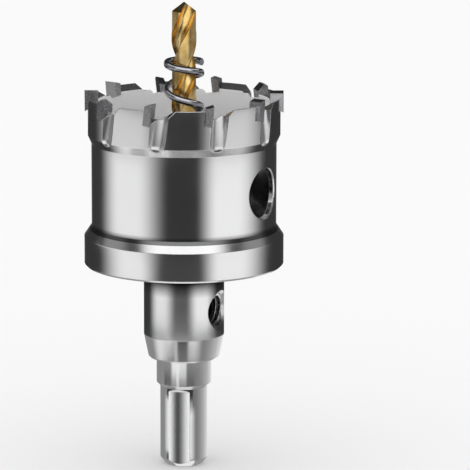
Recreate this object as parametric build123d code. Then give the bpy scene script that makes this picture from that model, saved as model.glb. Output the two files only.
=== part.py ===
from build123d import *
import math
import os

# A carbide-tipped hole saw: a turned steel cup on an arbor with a three-flat shank,
# ten brazed cutting tips, a twist pilot drill with its ejector spring, and the screw
# that holds the drill. The frame has its origin at the centre of the shank's end face,
# +Z along the axis towards the drill's point, and +X through one chip window.

# Arbor: three-flat shank, collar, hub under the cup, and spigot in the cup's floor
shank_diameter = 11.6
shank_length = 19.7
shank_bevel_width = 1.4
shank_bevel_height = 1.7
shank_bevel_crown = 0.08
centre_hole_diameter = 2.6
centre_hole_angle = 60.0
drive_flat_count = 3
drive_flat_depth = 0.65
drive_flat_length = 18.9
first_flat_angle = 46.7
collar_diameter = 13.4
collar_length = 7.2
hub_diameter = 19.6
hub_length = 23.2
hub_nose_diameter = 17.4
hub_nose_length = 5.8
hub_nose_edge = 0.4
spigot_diameter = 15.0

# Cup: one turned piece, its steps measured inwards and outwards from the tips' cut
flange_height = 7.1
flange_edge = 0.45
flange_step = 1.8
shoulder_height = 2.65
body_height = 20.15
crown_step = 0.9
crown_slope_height = 2.0
crown_height = 9.2
floor_thickness = 8.0
floor_corner_radius = 1.5
land_drop = 1.3

# Chip windows through the cup's wall
window_count = 2
window_diameter = 12.0
window_rise = 9.55
window_edge = 0.3

# Teeth: carbide tips in groups of five, some pointed and some flat
tooth_count = 10
first_tooth_angle = -42.5
pointed_in_group = (True, False, False, True, False)
cutting_diameter = 48.0
kerf = 3.3
tip_outer_clearance = 0.7
tip_inner_clearance = 0.3
tip_stand_up = 1.4
tip_length = 5.3
tip_thickness = 1.8
tip_seat_rise = 1.8
axial_rake = 6.5
top_relief = 20.0
outer_relief = 4.0
inner_relief = 2.0
point_offset = 1.3
point_outer_drop = 0.45
point_inner_drop = 1.5

# Gullets in front of the tips, and the bevel on the land behind each gullet
gullet_width = 4.1
gullet_corner_radius = 1.9
gullet_tilt = 9.9
gullet_breakthrough = 2.1
gullet_end_rise = 0.75
land_bevel_width = 1.5
land_bevel_height = 1.7

# Pilot drill
drill_diameter = 6.0
drill_point_rise = 22.9
drill_point_angle = 104.0
drill_socket_depth = 26.8
drill_socket_clearance = 0.04
drill_lead = 32.0
drill_flute_start = 4.0
drill_flute_radius = 2.1
drill_web = 1.3
drill_twist_start = 130.1
drill_flat_depth = 0.4
drill_flat_length = 9.0

# Ejector spring: left-hand, of wire rolled oval, eased level at the top, closed and ground
# at the bottom
spring_outer_diameter = 9.8
spring_wire_width = 1.2
spring_wire_height = 1.8
spring_pitch = 8.4
spring_rise = 8.2
spring_end_angle = 37.0
spring_level_turns = 0.22
spring_easing_turns = 0.95
spring_closing_turns = 0.5
spring_closed_turns = 1.0
spring_closed_pitch = 2.0
spring_ground_depth = 0.45
spring_points_per_turn = 16

# Set screw in the hub
screw_diameter = 8.0
screw_length = 4.0
screw_angle = 5.8
screw_drop = 10.9
screw_point_diameter = 5.6
screw_edge = 0.5
screw_socket_width = 4.0
screw_socket_depth = 2.4
screw_hole_clearance = 0.04
screw_hole_edge = 0.85

# Heights up the axis
collar_top = shank_length + collar_length
hub_top = collar_top + hub_length
flange_top = hub_top + flange_height
shoulder_top = flange_top + shoulder_height
body_top = shoulder_top + body_height
crown_bottom = body_top + crown_slope_height
land_top = crown_bottom + crown_height
tip_top = land_top + tip_stand_up
floor_top = hub_top + floor_thickness
window_height = shoulder_top + window_rise
drill_bottom = floor_top - drill_socket_depth
drill_top = land_top + drill_point_rise
spring_top = land_top + spring_rise
screw_height = hub_top - screw_drop

# Radii and angles
shank_radius = shank_diameter / 2
collar_radius = collar_diameter / 2
hub_radius = hub_diameter / 2
spigot_radius = spigot_diameter / 2
cutting_radius = cutting_diameter / 2
core_radius = cutting_radius - kerf
crown_radius = cutting_radius - tip_outer_clearance
cup_bore_radius = core_radius + tip_inner_clearance
body_radius = crown_radius - crown_step
flange_radius = body_radius + flange_step
drill_radius = drill_diameter / 2
screw_radius = screw_diameter / 2
tooth_pitch = 360 / tooth_count

# How far a cutting shape reaches past the surface that it opens, and the slack in a search
overshoot = 2.0
slack = 0.01


def turned(*profile):
    """The solid turned about the main axis from a closed (radius, height) profile."""
    return revolve(make_face(Polyline(*[(r, 0, z) for r, z in profile], close=True)), Axis.Z)


def tooth_frame(index):
    """A tooth's own frame: X outwards, Y out of the cutting face, Z up the leaning face."""
    rake = math.radians(axial_rake)
    lean = (0, math.sin(rake), math.cos(rake))
    upright = Plane(origin=(0, 0, tip_top), x_dir=(1, 0, 0), z_dir=lean)
    return Rot(0, 0, first_tooth_angle + index * tooth_pitch) * upright.location


def block_between(profile, behind, ahead):
    """An (X, Z) profile of a tooth's frame, as a block from Y = -behind to Y = ahead."""
    face = make_face(Polyline(*[(x, -behind, z) for x, z in profile], close=True))
    return extrude(face, behind + ahead, dir=(0, 1, 0))


def tip_seat_height(x):
    """Height of the sloping tip seat in the tooth's frame, at a distance from the axis."""
    return -tip_length + tip_seat_rise * (cutting_radius - x) / kerf


def carbide_tip(index):
    """One brazed tip: side relief in plan, a sloping foot, and a top that falls to the back."""
    outer_step = tip_thickness * math.tan(math.radians(outer_relief))
    inner_step = tip_thickness * math.tan(math.radians(inner_relief))
    plan = Polyline(
        (core_radius, 0, 0),
        (cutting_radius, 0, 0),
        (cutting_radius - outer_step, -tip_thickness, 0),
        (core_radius + inner_step, -tip_thickness, 0),
        close=True,
    )
    blank = extrude(make_face(plan), tip_length, dir=(0, 0, -1))
    foot = [
        (core_radius, tip_seat_height(core_radius)),
        (cutting_radius, tip_seat_height(cutting_radius)),
        (cutting_radius, overshoot),
        (core_radius, overshoot),
    ]
    if pointed_in_group[index % len(pointed_in_group)]:
        edge = [
            (core_radius, -point_inner_drop),
            (cutting_radius - point_offset, 0),
            (cutting_radius, -point_outer_drop),
        ]
    else:
        edge = [(core_radius, 0), (cutting_radius, 0)]
    below = -tip_length - overshoot
    outline = [(core_radius, below), *edge, (cutting_radius, below)]
    top_face = make_face(Polyline(*[(x, 0, z) for x, z in outline], close=True))
    relief = math.radians(top_relief)
    backwards = (0, -math.cos(relief), -math.sin(relief))
    top = extrude(top_face, tip_thickness / math.cos(relief), dir=backwards)
    return tooth_frame(index) * (blank & block_between(foot, tip_thickness, 0) & top)


def tip_pocket(index):
    """The space milled for a tip, opened forwards as far as the gullet's corner reaches."""
    inner = core_radius - overshoot
    outer = cutting_radius + overshoot
    profile = [
        (inner, tip_seat_height(inner)),
        (outer, tip_seat_height(outer)),
        (outer, overshoot),
        (inner, overshoot),
    ]
    return tooth_frame(index) * block_between(profile, tip_thickness, gullet_corner_radius)


def gullet(index):
    """The path of a round-cornered end mill that rises inwards along the tooth's face."""
    tilt = math.radians(gullet_tilt)
    end_drop = tip_top - crown_bottom - gullet_end_rise
    breakthrough_drop = tip_stand_up + gullet_breakthrough
    floor_radius = cup_bore_radius + (end_drop - breakthrough_drop) * math.tan(tilt)
    mill_frame = Plane(
        origin=(floor_radius, gullet_width / 2, -end_drop),
        x_dir=(-math.sin(tilt), 0, math.cos(tilt)),
        z_dir=(math.cos(tilt), 0, math.sin(tilt)),
    )
    travel = end_drop / math.cos(tilt) + overshoot
    reach = cutting_radius - cup_bore_radius + overshoot
    base = (Align.CENTER, Align.CENTER, Align.MIN)
    mill = Cylinder(gullet_width / 2, reach, align=base)
    mill = fillet(mill.edges().sort_by(Axis.Z)[0], gullet_corner_radius)
    path = Box(travel, gullet_width, reach, align=(Align.MIN, Align.CENTER, Align.MIN))
    floor_corners = path.faces().sort_by(Axis.Z)[0].edges().filter_by(Axis.X)
    path = fillet(floor_corners, gullet_corner_radius)
    return [tooth_frame(index) * mill_frame.location * shape for shape in (path, mill)]


def land_bevel(index):
    """The bevel on the land's corner, on the far side of the gullet."""
    rake = math.radians(axial_rake)

    def land_height(y):
        return (y * math.sin(rake) - tip_stand_up) / math.cos(rake)

    start = gullet_width
    stop = gullet_width + land_bevel_width
    profile = [
        (start, land_height(start) - land_bevel_height),
        (stop, land_height(stop)),
        (stop, overshoot),
        (start - land_bevel_width, overshoot),
        (start - land_bevel_width, land_height(start) - land_bevel_height),
    ]
    inner = cup_bore_radius - overshoot
    face = make_face(Polyline(*[(inner, y, z) for y, z in profile], close=True))
    wedge = extrude(face, crown_radius - inner + overshoot, dir=(1, 0, 0))
    return tooth_frame(index) * wedge


def hole_rims(solid, radius, angle, height, hole_radius):
    """The edges that a round radial hole leaves near the outer surface of a turned piece."""
    turn = math.radians(angle)
    middle = Vector(radius * math.cos(turn), radius * math.sin(turn), height)
    depth = radius - math.sqrt(radius**2 - hole_radius**2)
    lower = radius - depth - slack
    reach = math.hypot(hole_radius, depth) + slack
    rims = []
    for edge in solid.edges():
        spots = [edge @ share for share in (0, 0.25, 0.5, 0.75)]
        on_hole = all((spot - middle).length < reach for spot in spots)
        outside = all(math.hypot(spot.X, spot.Y) > lower for spot in spots)
        if on_hole and outside:
            rims.append(edge)
    return rims


def radial_hole(angle, height, radius, inner, outer):
    """A round drill running outwards from the axis, between two distances from it."""
    base = (Align.CENTER, Align.CENTER, Align.MIN)
    drill = Pos(inner, 0, height) * Rot(0, 90, 0) * Cylinder(radius, outer - inner, align=base)
    return Rot(0, 0, angle) * drill


def cutter_cup():
    """The turned cup, with its flange, shoulder, crown, chip windows, gullets and pockets."""
    wall = make_face(
        Polyline(
            (spigot_radius, 0, hub_top),
            (flange_radius - flange_edge, 0, hub_top),
            (flange_radius, 0, hub_top + flange_edge),
            (flange_radius, 0, flange_top),
            (body_radius, 0, shoulder_top),
            (body_radius, 0, body_top),
            (crown_radius, 0, crown_bottom),
            (crown_radius, 0, land_top),
            (cup_bore_radius, 0, land_top - land_drop),
            (cup_bore_radius, 0, floor_top),
            (spigot_radius, 0, floor_top),
            close=True,
        )
    )
    floor_corner = wall.vertices().sort_by_distance((cup_bore_radius, 0, floor_top))[0]
    cup = revolve(fillet(floor_corner, floor_corner_radius), Axis.Z)
    window_radius = window_diameter / 2
    for index in range(window_count):
        angle = index * 360 / window_count
        outer = body_radius + overshoot
        cup -= radial_hole(angle, window_height, window_radius, body_radius / 2, outer)
        rims = hole_rims(cup, body_radius, angle, window_height, window_radius)
        cup = chamfer(rims, window_edge)
    for index in range(tooth_count):
        for shape in gullet(index):
            cup -= shape
        cup -= tip_pocket(index)
        cup -= land_bevel(index)
    return cup


def shank_bevel():
    """The ring turned off the shank's end, which leaves a slightly crowned bevel."""
    foot = (shank_radius - shank_bevel_width, 0, 0)
    head = (shank_radius, 0, shank_bevel_height)
    slope = math.hypot(shank_bevel_width, shank_bevel_height)
    middle = (
        shank_radius - shank_bevel_width / 2 + shank_bevel_crown * shank_bevel_height / slope,
        0,
        shank_bevel_height / 2 - shank_bevel_crown * shank_bevel_width / slope,
    )
    outside = Polyline(
        head,
        (shank_radius + overshoot, 0, shank_bevel_height),
        (shank_radius + overshoot, 0, -overshoot),
        (shank_radius - shank_bevel_width, 0, -overshoot),
        foot,
    )
    return revolve(make_face(ThreePointArc(foot, middle, head) + outside), Axis.Z)


def drive_flat_cut():
    """The block milled off for a drive flat, which ends in a slope up to the round shank."""
    distance = shank_radius - drive_flat_depth
    profile = [
        (distance, -overshoot),
        (distance + overshoot, -overshoot),
        (distance + overshoot, drive_flat_length + overshoot),
        (distance, drive_flat_length),
    ]
    side = -shank_radius - overshoot
    face = make_face(Polyline(*[(x, side, z) for x, z in profile], close=True))
    return extrude(face, -2 * side, dir=(0, 1, 0))


def arbor():
    """Shank with its drive flats, collar, hub with the screw hole, and spigot with a socket."""
    nose_radius = hub_nose_diameter / 2
    nose_top = collar_top + hub_nose_length
    centre_radius = centre_hole_diameter / 2
    centre_depth = centre_radius / math.tan(math.radians(centre_hole_angle / 2))
    shoulder_slope_top = shank_length + collar_radius - shank_radius
    arbor_body = turned(
        (0, centre_depth),
        (centre_radius, 0),
        (shank_radius, 0),
        (shank_radius, shank_length),
        (collar_radius, shoulder_slope_top),
        (collar_radius, collar_top),
        (nose_radius - hub_nose_edge, collar_top),
        (nose_radius, collar_top + hub_nose_edge),
        (hub_radius, nose_top),
        (hub_radius, hub_top),
        (spigot_radius, hub_top),
        (spigot_radius, floor_top),
        (0, floor_top),
    )
    arbor_body -= shank_bevel()
    for index in range(drive_flat_count):
        turn = first_flat_angle + index * 360 / drive_flat_count
        arbor_body -= Rot(0, 0, turn) * drive_flat_cut()
    socket_radius = drill_radius + drill_socket_clearance
    arbor_body -= Pos(0, 0, drill_bottom) * Cylinder(
        socket_radius,
        drill_socket_depth + overshoot,
        align=(Align.CENTER, Align.CENTER, Align.MIN),
    )
    hole_radius = screw_radius + screw_hole_clearance
    outer = hub_radius + overshoot
    arbor_body -= radial_hole(screw_angle, screw_height, hole_radius, 0, outer)
    rims = hole_rims(arbor_body, hub_radius, screw_angle, screw_height, hole_radius)
    return chamfer(rims, screw_hole_edge)


def pilot_drill():
    """Two-flute right-hand twist drill, with a flat on its shank for the set screw."""
    base = (Align.CENTER, Align.CENTER, Align.MIN)
    twist_bottom = floor_top + drill_flute_start
    shank = Pos(0, 0, drill_bottom) * Cylinder(
        drill_radius, twist_bottom - drill_bottom, align=base
    )
    flat_box = Pos(drill_radius - drill_flat_depth, 0, screw_height) * Box(
        drill_radius,
        drill_diameter,
        drill_flat_length,
        align=(Align.MIN, Align.CENTER, Align.CENTER),
    )
    shank -= Rot(0, 0, screw_angle) * flat_box
    flute_offset = drill_web / 2 + drill_flute_radius
    section = Circle(drill_radius)
    section -= Pos(flute_offset, 0) * Circle(drill_flute_radius)
    section -= Pos(-flute_offset, 0) * Circle(drill_flute_radius)
    twist_length = drill_top - twist_bottom
    twisted = Solid.extrude_linear_with_rotation(
        (Pos(0, 0, twist_bottom) * Rot(0, 0, drill_twist_start) * section).face(),
        center=(0, 0, twist_bottom),
        normal=(0, 0, twist_length),
        angle=360 * twist_length / drill_lead,
    )
    wide = drill_radius + overshoot
    point = turned(
        (0, twist_bottom - overshoot),
        (wide, twist_bottom - overshoot),
        (wide, drill_top - wide / math.tan(math.radians(drill_point_angle / 2))),
        (0, drill_top),
    )
    return shank + (twisted & point)


def spring_centre_line():
    """Points down the spring: a level end, an easing stretch, open coils and a closed coil."""
    easing_drop = spring_pitch * spring_easing_turns / 2
    closing_drop = (spring_pitch + spring_closed_pitch) / 2 * spring_closing_turns
    closed_drop = spring_closed_pitch * spring_closed_turns
    bottom = floor_top + spring_wire_height / 2 - spring_ground_depth
    drop = spring_top - bottom
    open_turns = (drop - easing_drop - closing_drop - closed_drop) / spring_pitch
    stretches = (
        (spring_level_turns, 0, 0),
        (spring_easing_turns, 0, spring_pitch),
        (open_turns, spring_pitch, spring_pitch),
        (spring_closing_turns, spring_pitch, spring_closed_pitch),
        (spring_closed_turns, spring_closed_pitch, spring_closed_pitch),
    )
    coil_radius = (spring_outer_diameter - spring_wire_width) / 2
    points = []
    turns_done = 0
    height = spring_top
    for turns, pitch_above, pitch_below in stretches:
        steps = max(2, round(turns * spring_points_per_turn))
        for step in range(steps):
            part_turn = turns * step / steps
            change = (pitch_below - pitch_above) * part_turn / (2 * turns)
            fall = (pitch_above + change) * part_turn
            angle = math.radians(spring_end_angle + 360 * (turns_done + part_turn))
            x = coil_radius * math.cos(angle)
            y = coil_radius * math.sin(angle)
            points.append((x, y, height - fall))
        height -= (pitch_above + pitch_below) / 2 * turns
        turns_done += turns
    end_angle = math.radians(spring_end_angle + 360 * turns_done)
    points.append((coil_radius * math.cos(end_angle), coil_radius * math.sin(end_angle), height))
    return Spline(*points)


def ejector_spring():
    """Oval wire along the coil, ground flat where it stands on the arbor's spigot."""
    line = spring_centre_line()
    start = line @ 0
    wire_end = Plane(origin=start, x_dir=(start.X, start.Y, 0), z_dir=line % 0)
    wire_section = wire_end * Ellipse(spring_wire_width / 2, spring_wire_height / 2)
    coil = sweep(wire_section, path=line, is_frenet=True)
    return split(coil, bisect_by=Plane.XY.offset(floor_top), keep=Keep.TOP)


def set_screw():
    """Socket set screw with a flat point, from the drill's flat outwards."""
    point_distance = drill_radius - drill_flat_depth
    head_distance = point_distance + screw_length
    point_radius = screw_point_diameter / 2
    cone_end = point_distance + screw_radius - point_radius
    profile = [
        (point_distance, 0),
        (point_distance, point_radius),
        (cone_end, screw_radius),
        (head_distance - screw_edge, screw_radius),
        (head_distance, screw_radius - screw_edge),
        (head_distance, 0),
    ]
    body = revolve(make_face(Polyline(*[(x, 0, z) for x, z in profile], close=True)), Axis.X)
    hexagon = RegularPolygon(screw_socket_width / 2, 6, major_radius=False)
    socket_bottom = head_distance - screw_socket_depth
    socket = Pos(socket_bottom, 0, 0) * Rot(0, 90, 0) * extrude(hexagon, screw_socket_depth)
    return Rot(0, 0, screw_angle) * Pos(0, 0, screw_height) * (body - socket)


os.makedirs("parts", exist_ok=True)
export_step(cutter_cup(), "parts/cutter_cup.step")
export_step(arbor(), "parts/arbor.step")
export_step(pilot_drill(), "parts/pilot_drill.step")
export_step(ejector_spring(), "parts/ejector_spring.step")
export_step(set_screw(), "parts/set_screw.step")
for tooth in range(tooth_count):
    export_step(carbide_tip(tooth), f"parts/carbide_tip_{tooth + 1:02d}.step")
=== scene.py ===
import math

import bpy
import numpy as np
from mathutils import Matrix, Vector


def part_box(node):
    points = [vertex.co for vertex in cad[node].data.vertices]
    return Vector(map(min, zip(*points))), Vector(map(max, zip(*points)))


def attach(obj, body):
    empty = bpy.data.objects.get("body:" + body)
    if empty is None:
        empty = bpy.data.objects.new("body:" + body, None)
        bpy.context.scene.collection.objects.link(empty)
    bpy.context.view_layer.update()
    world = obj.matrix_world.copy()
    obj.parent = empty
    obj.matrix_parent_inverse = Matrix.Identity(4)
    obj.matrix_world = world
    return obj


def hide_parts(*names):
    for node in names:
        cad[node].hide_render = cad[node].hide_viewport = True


# A hole saw for sheet metal, seen from the front right and a little above. Lengths are in
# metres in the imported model's own frame, so sizes are written in millimetres times mm.

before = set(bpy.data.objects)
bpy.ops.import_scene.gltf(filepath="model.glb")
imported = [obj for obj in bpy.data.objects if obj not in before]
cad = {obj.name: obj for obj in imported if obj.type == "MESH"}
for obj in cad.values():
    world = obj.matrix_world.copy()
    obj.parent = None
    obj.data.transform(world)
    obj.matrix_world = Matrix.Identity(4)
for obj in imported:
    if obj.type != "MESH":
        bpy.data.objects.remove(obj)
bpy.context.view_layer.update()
mm = 0.001


# Cutter cup
# The real one is turned from a bar of alloy tool steel, milled with ten gullets and two
# chip windows, hardened and then polished bright on the lathe. Its CAD solid stays.

bore_radius = 21.0 * mm
body_radius = 22.4 * mm
crown_radius = 23.3 * mm
body_top = 80 * mm
crown_foot = 82 * mm
matt_bore_start, matt_bore_full = 76 * mm, 83 * mm
foot_shade_start, foot_shade_full = 60.9 * mm, 59.8 * mm
foot_shade_radius = 23 * mm
skin_depth = 0.1 * mm
tool_mark_pitch = 0.35 * mm
tool_mark_depth = 0.0012 * mm
cloud_size = 9 * mm


def linear(hex_colour):
    """The linear colour of an sRGB hex value, by the sRGB curve."""
    srgb = np.array([int(hex_colour[i:i + 2], 16) for i in (1, 3, 5)]) / 255
    low = srgb / 12.92
    high = ((srgb + 0.055) / 1.055) ** 2.4
    return (*np.where(srgb <= 0.04045, low, high).tolist(), 1.0)


def add_node(tree, kind, settings, inputs):
    """A new node of that kind, with its settings, and its inputs set or linked."""
    node = tree.nodes.new(kind)
    for name, value in settings.items():
        setattr(node, name, value)
    for name, value in inputs.items():
        if isinstance(value, bpy.types.NodeSocket):
            tree.links.new(value, node.inputs[name])
        else:
            node.inputs[name].default_value = value
    return node


def new_material(name):
    """An empty node material, with its output and its tree."""
    material = bpy.data.materials.new(name)
    material.use_nodes = True
    material.node_tree.nodes.clear()
    output = material.node_tree.nodes.new("ShaderNodeOutputMaterial")
    return material, material.node_tree, output


def turned_metal(name, colour, smooth, rough, edge_radius, zones):
    """Bare metal off the lathe: rings of fine tool marks, cloudy polish and broken edges. A
    zone is (start, full, radius, changes): inside that radius, the finish begins to change at
    the height start, and has changed wholly at full and beyond. Tone is a factor on the
    colour."""
    material, tree, output = new_material(name)
    place = add_node(tree, "ShaderNodeTexCoord", {}, {}).outputs["Object"]
    flat_place = add_node(tree, "ShaderNodeVectorMath", {"operation": "MULTIPLY"},
                          {0: place, 1: (1, 1, 0)})
    radius = add_node(tree, "ShaderNodeVectorMath", {"operation": "LENGTH"},
                      {0: flat_place.outputs["Vector"]})
    height = add_node(tree, "ShaderNodeSeparateXYZ", {}, {"Vector": place})
    ring = add_node(tree, "ShaderNodeCombineXYZ", {},
                    {"X": radius.outputs["Value"], "Y": height.outputs["Z"]})
    marks = add_node(tree, "ShaderNodeTexNoise", {"noise_dimensions": "2D"},
                     {"Vector": ring.outputs["Vector"], "Scale": 1 / tool_mark_pitch,
                      "Detail": 2.0})
    clouds = add_node(tree, "ShaderNodeTexNoise", {},
                      {"Vector": place, "Scale": 1 / cloud_size, "Detail": 3.0})
    polish = add_node(tree, "ShaderNodeMapRange", {},
                      {"Value": clouds.outputs["Fac"], "From Min": 0.3, "From Max": 0.7,
                       "To Min": smooth, "To Max": rough})
    finish = {"Roughness": polish.outputs["Result"], "Metallic": 1.0, "Tone": 1.0}
    for start, full, within, changes in zones:
        reached = add_node(tree, "ShaderNodeMapRange", {},
                           {"Value": height.outputs["Z"], "From Min": start, "From Max": full})
        inside = add_node(tree, "ShaderNodeMath", {"operation": "LESS_THAN"},
                          {0: radius.outputs["Value"], 1: within})
        zone = add_node(tree, "ShaderNodeMath", {"operation": "MULTIPLY"},
                        {0: reached.outputs["Result"], 1: inside.outputs["Value"]})
        for part, value in changes.items():
            finish[part] = add_node(tree, "ShaderNodeMix", {"data_type": "FLOAT"},
                                    {0: zone.outputs["Value"], 2: finish[part],
                                     3: value}).outputs[0]
    toned = add_node(tree, "ShaderNodeVectorMath", {"operation": "SCALE"},
                     {0: linear(colour)[:3], "Scale": finish["Tone"]})
    edges = add_node(tree, "ShaderNodeBevel", {"samples": 6}, {"Radius": edge_radius})
    relief = add_node(tree, "ShaderNodeBump", {},
                      {"Height": marks.outputs["Fac"], "Strength": 1.0,
                       "Distance": tool_mark_depth, "Normal": edges.outputs["Normal"]})
    surface = add_node(tree, "ShaderNodeBsdfPrincipled", {},
                       {"Base Color": toned.outputs["Vector"], "Metallic": finish["Metallic"],
                        "Roughness": finish["Roughness"],
                        "Normal": relief.outputs["Normal"]})
    tree.links.new(surface.outputs["BSDF"], output.inputs["Surface"])
    return material


def dress(node, material):
    """Gives a CAD node's mesh one material."""
    cad[node].data.materials.clear()
    cad[node].data.materials.append(material)


# Alloy tool steel, turned and polished: long soft reflections down its length, with a
# faint ring grain that only shows where a band of light fades out. A painted shade darkens
# the corner at the body's foot, and with it the cup's floor and the flange's underside. The
# gullets, just under the skin of the crown and its slope, are duller, as milled. The bore is
# matt near the teeth and takes plain light there, and it is painted paler than the steel, as
# painted light.
milled = {"Roughness": 0.27, "Metallic": 0.94, "Tone": 0.78}
# Painted light: a Tone above 1 paints the bore near the teeth paler than the steel.
bore_painted_pale = {"Roughness": 0.42, "Metallic": 0.0, "Tone": 1.25}
gullet_zones = [(height, height + skin_depth, radius - skin_depth, milled)
                for height, radius in zip(np.linspace(body_top, crown_foot, 3),
                                          np.linspace(body_radius, crown_radius, 3))]
# Painted shade: a Tone of 0.25 darkens all within foot_shade_radius below the body's foot.
cup_zones = [(foot_shade_start, foot_shade_full, foot_shade_radius, {"Tone": 0.25}),
             *gullet_zones,
             (matt_bore_start, matt_bore_full, bore_radius + skin_depth / 2, bore_painted_pale)]
cup_steel = turned_metal("tool_steel_turned_polished", "#E6E6E7", 0.13, 0.19, 0.25 * mm,
                         cup_zones)
dress("cutter_cup", cup_steel)


# Carbide tips
# Ten sintered tungsten carbide blanks, brazed in their pockets and ground to size. The
# CAD solids stay.


def ground_carbide(name, colour, grain):
    """Sintered carbide off a diamond wheel: darker than steel, matt and finely speckled."""
    material, tree, output = new_material(name)
    place = add_node(tree, "ShaderNodeTexCoord", {}, {}).outputs["Object"]
    speckle = add_node(tree, "ShaderNodeTexNoise", {},
                       {"Vector": place, "Scale": 1 / grain, "Detail": 4.0, "Roughness": 0.7})
    sheen = add_node(tree, "ShaderNodeMapRange", {},
                     {"Value": speckle.outputs["Fac"], "From Min": 0.3, "From Max": 0.7,
                      "To Min": 0.18, "To Max": 0.4})
    edges = add_node(tree, "ShaderNodeBevel", {"samples": 6}, {"Radius": 0.08 * mm})
    relief = add_node(tree, "ShaderNodeBump", {},
                      {"Height": speckle.outputs["Fac"], "Strength": 1.0,
                       "Distance": 0.012 * mm, "Normal": edges.outputs["Normal"]})
    surface = add_node(tree, "ShaderNodeBsdfPrincipled", {},
                       {"Base Color": linear(colour), "Metallic": 1.0,
                        "Roughness": sheen.outputs["Result"],
                        "Normal": relief.outputs["Normal"]})
    tree.links.new(surface.outputs["BSDF"], output.inputs["Surface"])
    return material


# Tungsten carbide, ground: a flat mid grey with a grain, so the tips read as set in.
carbide = ground_carbide("tungsten_carbide_ground", "#AEAEB0", 0.45 * mm)
for node in cad:
    if node.startswith("carbide_tip"):
        dress(node, carbide)


# Arbor
# Turned from one bar of carbon steel, with three flats milled on the shank and a tapped
# cross hole in the hub, then polished. Its CAD solid stays, and gets the hole's thread.

hub_radius = 9.8 * mm
arbor_reach = hub_radius + 0.1 * mm
shank_gloss_start, shank_gloss_full = 20.5 * mm, 19.5 * mm
hub_shade_start, hub_shade_full = 43.2 * mm, 46.8 * mm
spigot_shade_start, spigot_shade_full = 47 * mm, 49 * mm

# Carbon steel, turned and polished: the same long reflections as the cup's, sharper on the
# shank. A painted shadow turns the hub near black under the flange, and a lighter painted
# shade greys the spigot above it.
arbor_zones = [(shank_gloss_start, shank_gloss_full, arbor_reach, {"Roughness": 0.05}),
               # Painted shadow under the flange at Tone 0.04, then a lighter painted shade of 0.3
               # on the spigot.
               (hub_shade_start, hub_shade_full, arbor_reach, {"Tone": 0.04}),
               (spigot_shade_start, spigot_shade_full, arbor_reach, {"Tone": 0.3})]
arbor_steel = turned_metal("carbon_steel_turned_polished", "#E4E4E5", 0.14, 0.2, 0.18 * mm,
                           arbor_zones)
dress("arbor", arbor_steel)


def put_mesh(name, points, faces, material):
    """An object from an array of corners and a list of faces, with one material."""
    mesh = bpy.data.meshes.new(name)
    mesh.from_pydata(points.tolist(), [], faces)
    mesh.materials.append(material)
    piece = bpy.data.objects.new(name, mesh)
    bpy.context.scene.collection.objects.link(piece)
    return piece


def skin(name, rings, material, joined=False):
    """The surface through rings of points, one ring after another along the first axis. It
    has a flat face over the first ring and the last, unless those two are joined. Rings run
    anticlockwise, seen from the last ring."""
    levels, around = rings.shape[:2]
    index = np.arange(levels * around).reshape(levels, around)
    here, next_ring = (index, np.roll(index, -1, axis=0)) if joined else (index[:-1], index[1:])
    sides = np.stack([here, np.roll(here, -1, axis=1), np.roll(next_ring, -1, axis=1), next_ring],
                     axis=-1).reshape(-1, 4)
    ends = [] if joined else [index[0, ::-1].tolist(), index[-1].tolist()]
    return put_mesh(name, rings.reshape(-1, 3), sides.tolist() + ends, material)


def settle(piece, sharp_angle):
    """Applies the piece's modifiers and shades it smooth up to that angle between faces."""
    graph = bpy.context.evaluated_depsgraph_get()
    piece.data = bpy.data.meshes.new_from_object(piece.evaluated_get(graph))
    piece.modifiers.clear()
    piece.data.shade_smooth()
    piece.data.set_sharp_from_angle(angle=math.radians(sharp_angle))


def belongs(piece, body, slot, *nodes):
    """Rides the piece on a body, and hides the CAD nodes that it stands for. Its slot is not used.
    """
    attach(piece, body)
    if nodes:
        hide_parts(*nodes)


screw_azimuth = math.radians(5.8)
screw_height = 39.2 * mm
hub_hole_radius = 4.03 * mm
hub_hole_edge = 0.85 * mm
screw_head = 6.6 * mm
screw_gap = 0.05 * mm
thread_pitch = 1.25 * mm
thread_depth = 0.6 * mm
thread_fade = 0.3 * mm


def thread_rings(around, along):
    """The lining of a tapped hole. At each angle about the hole's axis, a loop goes out along
    the thread and back along the hole's wall. The thread's height is a triangle wave, cut
    flat at its crests and roots, of the distance along the axis less the pitch times the
    angle's share of a turn. It fades at the mouth, which follows the hub's round surface."""
    angle = np.linspace(0, 2 * math.pi, around + 1)[:-1, None]
    start = screw_head + screw_gap
    mouth = np.sqrt(hub_radius ** 2 - (hub_hole_radius * np.cos(angle)) ** 2) - hub_hole_edge
    out = start + (mouth - start) * np.linspace(0, 1, along)[None, :]
    phase = np.mod(out / thread_pitch - angle / (2 * math.pi), 1)
    ridge = np.clip(1.25 - 2.5 * np.abs(2 * phase - 1), 0, 1)
    fade = np.clip((mouth - out) / thread_fade, 0.02, 1)
    bore = hub_hole_radius - thread_depth * ridge * fade
    distance = np.concatenate([out, out[:, ::-1]], axis=1)
    radius = np.concatenate([bore, np.full(out.shape, hub_hole_radius)], axis=1)
    across = radius * np.cos(angle)
    x = distance * math.cos(screw_azimuth) - across * math.sin(screw_azimuth)
    y = distance * math.sin(screw_azimuth) + across * math.cos(screw_azimuth)
    return np.stack([x, y, screw_height + radius * np.sin(angle)], axis=-1)


hub_thread = skin("hub_screw_thread", thread_rings(96, 60), arbor_steel, joined=True)
settle(hub_thread, 30)
belongs(hub_thread, "root", "arbor_steel")


# Set screw
# A cold-headed socket screw in alloy steel, blackened in hot oxide, and turned into the
# hub's cross hole until its point bears on the drill. Its CAD solid stays.

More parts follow.
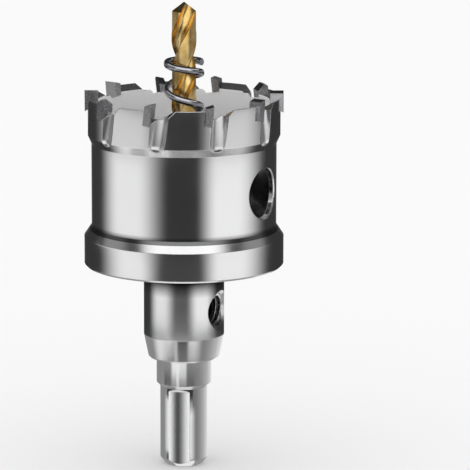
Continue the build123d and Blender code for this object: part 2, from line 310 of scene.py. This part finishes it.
# Black oxide on steel: near black, with a dull oily sheen.
screw_black, tree, output = new_material("alloy_steel_black_oxide")
place = add_node(tree, "ShaderNodeTexCoord", {}, {}).outputs["Object"]
wear = add_node(tree, "ShaderNodeTexNoise", {},
                {"Vector": place, "Scale": 1 / (0.8 * mm), "Detail": 3.0})
sheen = add_node(tree, "ShaderNodeMapRange", {},
                 {"Value": wear.outputs["Fac"], "To Min": 0.3, "To Max": 0.55})
surface = add_node(tree, "ShaderNodeBsdfPrincipled", {},
                   {"Base Color": linear("#2A2A2C"), "Metallic": 0.9,
                    "Roughness": sheen.outputs["Result"]})
tree.links.new(surface.outputs["BSDF"], output.inputs["Surface"])
dress("set_screw", screw_black)


# Pilot drill
# A ground two-flute twist drill in high-speed steel with a gold titanium nitride coating,
# held in the arbor by the set screw.

# Titanium nitride on ground steel: yellow gold in the light and brown in the shade.
drill_gold, tree, output = new_material("titanium_nitride_on_ground_steel")
place = add_node(tree, "ShaderNodeTexCoord", {}, {}).outputs["Object"]
drift = add_node(tree, "ShaderNodeTexNoise", {},
                 {"Vector": place, "Scale": 1 / (2.5 * mm), "Detail": 3.0})
tint = add_node(tree, "ShaderNodeValToRGB", {}, {"Fac": drift.outputs["Fac"]})
tint.color_ramp.elements[0].position = 0.3
tint.color_ramp.elements[0].color = linear("#DDB25E")
tint.color_ramp.elements[1].position = 0.7
tint.color_ramp.elements[1].color = linear("#FBE0A2")
edges = add_node(tree, "ShaderNodeBevel", {"samples": 6}, {"Radius": 0.08 * mm})
surface = add_node(tree, "ShaderNodeBsdfPrincipled", {},
                   {"Base Color": tint.outputs["Color"], "Metallic": 1.0, "Roughness": 0.24,
                    "Normal": edges.outputs["Normal"]})
tree.links.new(surface.outputs["BSDF"], output.inputs["Surface"])


drill_radius = 3.0 * mm
drill_web = 1.3 * mm
drill_flute_radius = 2.1 * mm
drill_clearance = 0.12 * mm
drill_margin = 0.5 * mm
margin_step_share = 0.08
barely_cutting = 0.9999
drill_lead = 32 * mm
drill_phase = math.radians(130.1)
drill_flute_start = 62.1 * mm
drill_run_out = 3.5 * mm
drill_point_angle = math.radians(104)
drill_end_chamfer = 0.3 * mm
drill_flat_depth = 0.4 * mm
drill_flat_length = 9 * mm
drill_chisel_radius = 0.004 * mm
drill_ring_step = 0.25 * mm
drill_low, drill_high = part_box("pilot_drill")


def drill_rings(heights):
    """The drill's section at each height. A flute is an arc of a circle whose centre stands
    off the axis by half the web and the flute's radius, and moves out where the flute runs
    out, until it barely cuts the shank. A land is an arc about the axis, kept lower by a
    clearance except on its margin, which ends in a narrow step. The section turns evenly with
    height, and a flat for the set screw cuts the shank."""
    height = heights[:, None]
    fade = np.clip((drill_flute_start - height) / drill_run_out, 0, 1)
    offset = drill_web / 2 + drill_flute_radius + fade ** 2 * drill_radius
    offset = np.minimum(offset, barely_cutting * (drill_radius + drill_flute_radius))
    corner = np.arccos((drill_radius ** 2 + offset ** 2 - drill_flute_radius ** 2)
                       / (2 * drill_radius * offset))
    sweep = np.arctan2(drill_radius * np.sin(corner), offset - drill_radius * np.cos(corner))
    across = np.linspace(-1, 1, 25)[None, :]
    flute_x = offset - drill_flute_radius * np.cos(sweep * across)
    flute_y = drill_flute_radius * np.sin(sweep * across)
    land_width = math.pi - 2 * corner
    margin = drill_margin / (drill_radius * land_width)
    body = np.linspace(0.03, 1, 20)[None, :] * (1 - (1 + margin_step_share) * margin)
    rim = 1 - margin * np.array([[1, 0.66, 0.33]])
    azimuth = corner + land_width * np.concatenate([body, rim], axis=1)
    x = np.concatenate([flute_x, drill_radius * np.cos(azimuth)], axis=1)
    y = np.concatenate([flute_y, drill_radius * np.sin(azimuth)], axis=1)
    on_margin = np.concatenate([across[0] <= 0, np.zeros(body.shape[1], bool),
                                np.ones(rim.shape[1], bool)])
    reach = np.where(on_margin[None, :], drill_radius, drill_radius - drill_clearance * (1 - fade))
    reach = np.where(height < drill_low.z + drill_end_chamfer / 2,
                     drill_radius - drill_end_chamfer, reach)
    shrink = np.minimum(1, reach / np.hypot(x, y))
    x, y = x * shrink, y * shrink
    x, y = np.concatenate([x, -x], axis=1), np.concatenate([y, -y], axis=1)
    turn = drill_phase + 2 * math.pi * (height - drill_flute_start) / drill_lead - screw_azimuth
    outwards = x * np.cos(turn) - y * np.sin(turn)
    sideways = x * np.sin(turn) + y * np.cos(turn)
    on_flat = np.abs(height - screw_height) < drill_flat_length / 2
    outwards = np.where(on_flat, np.minimum(outwards, drill_radius - drill_flat_depth), outwards)
    return np.stack([outwards * math.cos(screw_azimuth) - sideways * math.sin(screw_azimuth),
                     outwards * math.sin(screw_azimuth) + sideways * math.cos(screw_azimuth),
                     height + 0 * x], axis=-1)


def turned_rings(profile):
    """The rings of a turned surface: each (radius, height) pair carried once round the axis."""
    azimuth = np.linspace(0, 2 * math.pi, 97)[None, :-1]
    radius, height = np.array(profile).T[:, :, None]
    return np.stack([radius * np.cos(azimuth), radius * np.sin(azimuth),
                     height + 0 * azimuth], axis=-1)


flat_ends = screw_height + drill_flat_length / 2 * np.array([-1.001, -0.999, 0.999, 1.001])
drill_heights = np.concatenate([
    [drill_low.z, drill_low.z + drill_end_chamfer], flat_ends,
    np.arange(drill_flute_start - 1.1 * drill_run_out, drill_high.z + 1 * mm,
              drill_ring_step)])
drill = skin("pilot_drill_fluted", drill_rings(drill_heights), drill_gold)

# The point is ground by what the drill and a wider cone-ended bar have in common.
cone_radius = 5 * mm
point_fall = 1 / math.tan(drill_point_angle / 2)
cone = skin("drill_point_cone", turned_rings([
    (cone_radius, drill_low.z - 1 * mm),
    (cone_radius, drill_high.z - cone_radius * point_fall),
    (drill_chisel_radius, drill_high.z - drill_chisel_radius * point_fall)]), drill_gold)
grind = drill.modifiers.new("point", "BOOLEAN")
grind.operation = "INTERSECT"
grind.solver = "EXACT"
grind.object = cone
settle(drill, 28)
bpy.data.objects.remove(cone)
belongs(drill, "root", "coated_drill_steel", "pilot_drill")


# Ejector spring
# Cold-coiled left-handed from oil-tempered wire rolled oval. Its lowest coils are closed
# and ground flat, so that it stands square on the cup's floor.

# Oil-tempered wire, wiped clean: bare grey steel with a wet highlight along the wire.
wire_steel, tree, output = new_material("spring_wire_oil_tempered")
place = add_node(tree, "ShaderNodeTexCoord", {}, {}).outputs["Object"]
drift = add_node(tree, "ShaderNodeTexNoise", {},
                 {"Vector": place, "Scale": 1 / (1.5 * mm), "Detail": 3.0})
sheen = add_node(tree, "ShaderNodeMapRange", {},
                 {"Value": drift.outputs["Fac"], "To Min": 0.12, "To Max": 0.2})
surface = add_node(tree, "ShaderNodeBsdfPrincipled", {},
                   {"Base Color": linear("#BEBEC4"), "Metallic": 1.0,
                    "Roughness": sheen.outputs["Result"]})
tree.links.new(surface.outputs["BSDF"], output.inputs["Surface"])

spring_radius = 4.3 * mm
wire_half_width = 0.6 * mm
wire_half_height = 0.9 * mm
wire_end_share = 0.86
spring_top = 99.4 * mm
spring_foot = 58.1 * mm
spring_ground = 0.45 * mm
spring_end_azimuth = math.radians(37)
open_pitch = 8.4 * mm
closed_pitch = 2.0 * mm
level_turns, easing_turns, closing_turns, closed_turns = 0.22, 0.95, 0.5, 1.0


def spring_line(steps):
    """The wire's centre line from its top end: the angle grows evenly, and the height falls
    by the pitch integrated over the turns, from level through open to closed coils."""
    fall = spring_top - spring_foot - wire_half_height + spring_ground
    closing_fall = (open_pitch + closed_pitch) / 2 * closing_turns + closed_pitch * closed_turns
    open_turns = (fall - open_pitch * easing_turns / 2 - closing_fall) / open_pitch
    ends = np.cumsum([level_turns, easing_turns, open_turns, closing_turns, closed_turns])
    turns = np.linspace(0, ends[-1], steps)
    pitch = np.interp(turns, [0, *ends], [0, 0, open_pitch, open_pitch, closed_pitch,
                                          closed_pitch])
    drop = np.concatenate([[0], np.cumsum((pitch[1:] + pitch[:-1]) / 2 * np.diff(turns))])
    azimuth = spring_end_azimuth + 2 * math.pi * turns
    return azimuth, spring_top - drop, pitch


def wire_rings(along, around):
    """An upright oval carried square to the spring's line, its ends cut a little narrower,
    and pressed flat where it would pass below the spring's ground foot."""
    azimuth, height, pitch = (part[:, None] for part in spring_line(along))
    lean = np.arctan2(-pitch / (2 * math.pi), spring_radius)
    ring = np.linspace(0, 2 * math.pi, around + 1)[None, :-1]
    size = np.ones(azimuth.shape)
    size[[0, -1]] = wire_end_share
    out = size * wire_half_width * np.cos(ring)
    up = size * wire_half_height * np.sin(ring)
    radius = spring_radius + out
    forward = -up * np.sin(lean)
    x = radius * np.cos(azimuth) - forward * np.sin(azimuth)
    y = radius * np.sin(azimuth) + forward * np.cos(azimuth)
    z = np.maximum(height + up * np.cos(lean), spring_foot)
    return np.stack([x, y, z], axis=-1)[:, ::-1]


spring = skin("ejector_spring_coil", wire_rings(700, 24), wire_steel)
settle(spring, 40)
belongs(spring, "root", "spring_steel", "ejector_spring")


# Floor
# A sheet of white paper under the tool, so wide that its edges lie out of sight. Only the
# tool's reflections don't see it.
floor_reach = 20.0

paper, tree, output = new_material("white_paper_matt")
surface = add_node(tree, "ShaderNodeBsdfDiffuse", {}, {"Color": linear("#FAFAFA")})
tree.links.new(surface.outputs["BSDF"], output.inputs["Surface"])
floor_corners = floor_reach * np.array([(-1, -1, 0), (1, -1, 0), (1, 1, 0), (-1, 1, 0)])
floor = put_mesh("floor", floor_corners, [(0, 1, 2, 3)], paper)
floor.visible_glossy = False


# Light tent
# A dark sleeve with a lid stands round the tool, with soft bright cards on its inside. White
# light comes in through a ring above the drill, open at the front and the sides. Only
# reflections see the tent, so it draws the long bands on the polished steel.
camera_azimuth = -60.0
tent_radius = 75 * mm
tent_foot = -140 * mm
ring_foot = 122 * mm
ring_top = 150 * mm
lid_height = 190 * mm
all_round = -180, 180
closed_back = 110, 250
layer_gap = 0.02 * tent_radius


def only_reflected(piece):
    """Stages a piece that nothing but a glossy reflection sees."""
    piece.visible_camera = False
    piece.visible_diffuse = False
    piece.visible_shadow = False
    piece.visible_transmission = False


def sleeve_patch(name, start, stop, bottom, top, radius, material):
    """Part of an upright cylinder: the radius at an azimuth that runs from start to stop,
    and a height that runs from bottom to top, on an even grid with its own UV map. Azimuths
    are in degrees from the camera's, and grow towards the right of the picture."""
    across, up = np.meshgrid(np.linspace(0, 1, 49), np.linspace(0, 1, 3))
    azimuth = np.radians(camera_azimuth + start + (stop - start) * across)
    points = np.stack([radius * np.cos(azimuth), radius * np.sin(azimuth),
                       bottom + (top - bottom) * up], axis=-1).reshape(-1, 3)
    index = np.arange(across.size).reshape(across.shape)
    faces = np.stack([index[:-1, :-1], index[:-1, 1:], index[1:, 1:], index[1:, :-1]],
                     axis=-1).reshape(-1, 4)
    piece = put_mesh(name, points, faces.tolist(), material)
    corner = faces.reshape(-1)
    uv = np.stack([across.reshape(-1)[corner], up.reshape(-1)[corner]], axis=-1)
    piece.data.uv_layers.new(name="card").data.foreach_set("uv", uv.reshape(-1))
    only_reflected(piece)


def soft_card(name, strength, left, right, below, above):
    """A light that fades to nothing at each side, over that share of its width or height."""
    material, tree, output = new_material(name)
    place = add_node(tree, "ShaderNodeUVMap", {"uv_map": "card"}, {}).outputs["UV"]
    axes = add_node(tree, "ShaderNodeSeparateXYZ", {}, {"Vector": place})
    shares = []
    for axis, near, far in (("X", left, right), ("Y", below, above)):
        for start, stop in ((0, near), (1, 1 - far)):
            shares.append(add_node(tree, "ShaderNodeMapRange",
                                   {"interpolation_type": "SMOOTHSTEP"},
                                   {"Value": axes.outputs[axis], "From Min": start,
                                    "From Max": stop}).outputs["Result"])
    light = shares[0]
    for share in shares[1:]:
        light = add_node(tree, "ShaderNodeMath", {"operation": "MULTIPLY"},
                         {0: light, 1: share}).outputs["Value"]
    clear = add_node(tree, "ShaderNodeBsdfTransparent", {}, {})
    shine = add_node(tree, "ShaderNodeEmission", {}, {"Strength": strength})
    mix = add_node(tree, "ShaderNodeMixShader", {},
                   {"Fac": light, 1: clear.outputs["BSDF"], 2: shine.outputs["Emission"]})
    tree.links.new(mix.outputs["Shader"], output.inputs["Surface"])
    return material


# Dark cloth, which still gives back a little light.
dark_cloth, tree, output = new_material("dark_cloth")
light = add_node(tree, "ShaderNodeEmission", {}, {"Strength": 0.04})
tree.links.new(light.outputs["Emission"], output.inputs["Surface"])
sleeve_patch("tent_sleeve", *all_round, tent_foot, ring_foot, tent_radius, dark_cloth)
sleeve_patch("tent_sleeve_back", *closed_back, ring_foot, ring_top, tent_radius, dark_cloth)
sleeve_patch("tent_sleeve_top", *all_round, ring_top, lid_height, tent_radius, dark_cloth)
lid_rim = np.radians(np.arange(0, 360, 7.5))
lid_corners = np.stack([tent_radius * np.cos(lid_rim), tent_radius * np.sin(lid_rim),
                        lid_height + 0 * lid_rim], axis=-1)
only_reflected(put_mesh("tent_lid", lid_corners, [list(range(len(lid_rim)))], dark_cloth))


def hang_card(name, start, stop, bottom, top, strength, left, right, below=1 * mm,
              above=1 * mm, layer=1):
    """A soft card inside the sleeve, that many layers off it. Its fades are in degrees at
    the left and right, and in metres below and above."""
    wide, tall = stop - start, top - bottom
    sleeve_patch("tent_card_" + name, start, stop, bottom, top,
                 tent_radius - layer * layer_gap,
                 soft_card("card_" + name, strength, left / wide, right / wide, below / tall,
                           above / tall))


# The camera looks down on the tool, so these cards hang 10 to 15 mm lower than the bands that
# they draw. Cards on one layer overlap only where both fade.
crown_heights = 69 * mm, 84 * mm
body_heights = 46 * mm, 71 * mm
flange_heights = 36 * mm, 47 * mm
hub_heights = 18 * mm, 37 * mm
collar_heights = 6 * mm, 14 * mm
shank_heights = -21 * mm, 14 * mm

# The two bright bands down the cup and the hub.
hang_card("crown_left", -116, -14, *crown_heights, 0.76, 40, 34, 2 * mm, 2 * mm)
hang_card("crown_right", 12, 108, *crown_heights, 0.76, 24, 46, 2 * mm, 2 * mm)
hang_card("body_left", -112, -16, *body_heights, 0.98, 36, 36, 1 * mm, 2 * mm)
hang_card("body_right", 12, 106, *body_heights, 1.04, 24, 46, 1 * mm, 2 * mm)
hang_card("flange_left", -100, -20, *flange_heights, 1.0, 40, 24)
hang_card("flange_right", 14, 102, *flange_heights, 1.03, 20, 46)
hang_card("hub_left", -112, -20, *hub_heights, 0.98, 38, 36, 3 * mm, 4 * mm)
hang_card("hub_right", 4, 104, *hub_heights, 1.08, 34, 48, 3 * mm, 4 * mm)

# A dim grey between the two bands, where the flange and the hub face the camera.
hang_card("hub_middle", -70, 60, 16 * mm, 37 * mm, 0.11, 30, 30, 3 * mm, 3 * mm, layer=0.5)
hang_card("flange_middle", -70, 60, *flange_heights, 0.065, 30, 30, layer=0.7)

# Light at the back: a dim rim for the tool's edges, and a bright band down its rear.
hang_card("back_edge", 150, 210, 62 * mm, 98 * mm, 0.32, 25, 25, 8 * mm, 8 * mm)
hang_card("body_back", 138, 222, 36 * mm, 71 * mm, 0.17, 25, 25, layer=0.6)
hang_card("back_band", 160, 200, 16 * mm, 84 * mm, 0.95, 14, 14, 3 * mm, 6 * mm, layer=2)

# The drill's flutes and the spring's coils, and the slopes and edges that face up or down.
hang_card("drill_side", 45, 315, 85 * mm, 112 * mm, 0.3, 40, 40, 6 * mm, 8 * mm, layer=0.8)
hang_card("spring_front", -60, 60, 88 * mm, 150 * mm, 1.3, 30, 30, 8 * mm, 6 * mm, layer=2)
hang_card("crown_slope", -50, 50, -7 * mm, 1 * mm, 0.45, 14, 14, 1 * mm, 3 * mm, layer=0.5)
hang_card("hub_edge", -110, 110, 13.5 * mm, 16.5 * mm, 1.3, 30, 30, layer=1.4)
hang_card("nose_left", -112, -30, -16 * mm, 1 * mm, 0.98, 34, 6, 2 * mm, 2 * mm, layer=1.2)
hang_card("nose_right", 8, 62, -17 * mm, -1 * mm, 0.98, 8, 34, 1 * mm, 3 * mm, layer=2.2)

# The collar: a bright patch at the front, between greys.
hang_card("collar_side", -90, -50, *collar_heights, 0.3, 4, 3, layer=1.2)
hang_card("collar_front", -58, 12, *collar_heights, 1.2, 12, 4, layer=1.8)
hang_card("collar_right", 8, 70, *collar_heights, 0.22, 4, 20, layer=1.2)

# The shank: greys at its sides, and a bright flat with a dark flag across it.
hang_card("shank_side", -180, -86, *shank_heights, 0.3, 1, 3)
hang_card("shank_right", 40, 180, *shank_heights, 0.2, 5, 1)
hang_card("shank_back", 40, 180, *shank_heights, 0.95, 140, 1, layer=2)
hang_card("foot", *all_round, tent_foot, -20 * mm, 0.35, 1, 1)
hang_card("flat_front", -31, -20.5, -21 * mm, 7 * mm, 1.15, 1.5, 1.5, layer=1.6)
hang_card("flat_flag", -28, -23.4, -21 * mm, 6 * mm, 0.05, 1.8, 2.6, layer=2)


# World
# Plain white all round. It lights the floor, and the steel mirrors it where the tent is
# open.
world = bpy.data.worlds.new("white_room")
world.use_nodes = True
world.node_tree.nodes["Background"].inputs["Color"].default_value = (1, 1, 1, 1)
world.node_tree.nodes["Background"].inputs["Strength"].default_value = 1.0
bpy.context.scene.world = world
bpy.context.scene.view_settings.view_transform = "Standard"


# Camera
# A long lens from the front right and a little above, with the tool left of the middle. It
# stands where the tool's round edges look as flat as they do in the photo.
camera_elevation = 11.5
camera_distance = 822 * mm
target = np.array([0, 0, 57 * mm])
data = bpy.data.cameras.new("camera")
data.lens = 259
data.sensor_width = 36
data.shift_x = 0.1085
data.clip_start = 0.01
data.clip_end = 50
camera = bpy.data.objects.new("camera", data)
bpy.context.scene.collection.objects.link(camera)
turn = math.radians(camera_azimuth)
rise = math.radians(camera_elevation)
back = np.array([math.cos(turn) * math.cos(rise), math.sin(turn) * math.cos(rise),
                 math.sin(rise)])
camera.location = target + camera_distance * back
camera.rotation_euler = (math.radians(90) - rise, 0, turn + math.radians(90))
bpy.context.scene.camera = camera
